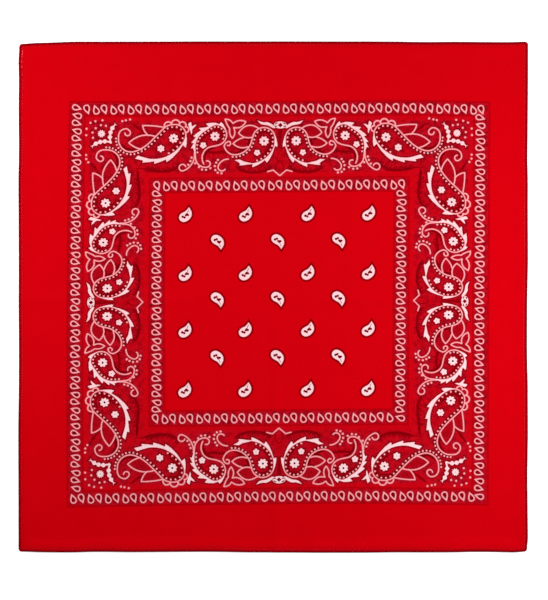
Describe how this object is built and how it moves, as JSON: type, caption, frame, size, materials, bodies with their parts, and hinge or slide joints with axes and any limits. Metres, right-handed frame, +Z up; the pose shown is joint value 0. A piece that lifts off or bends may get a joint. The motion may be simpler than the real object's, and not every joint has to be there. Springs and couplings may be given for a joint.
{
  "type": "bandana",
  "caption": "Square printed cotton bandana with narrow turned hems, laid flat with faint pressed fold creases.",
  "frame": {"origin": "on the surface that the cloth lies on, under the middle of its outline", "axes": "+Z up out of the printed face, +Y towards the cloth's top edge, +X towards its right edge"},
  "size_m": [0.5606, 0.5623, 0.003],
  "materials": {
    "printed_cotton": "matt plain-woven cotton, red with a white and dark paisley print",
    "hem_cotton": "matt plain-woven cotton, turned under and sewn with a row of red lockstitch"
  },
  "bodies": {
    "root": {"panel": "printed_cotton", "hem_top": "hem_cotton", "hem_bottom": "hem_cotton", "hem_left": "hem_cotton", "hem_right": "hem_cotton"}
  },
  "joints": []
}
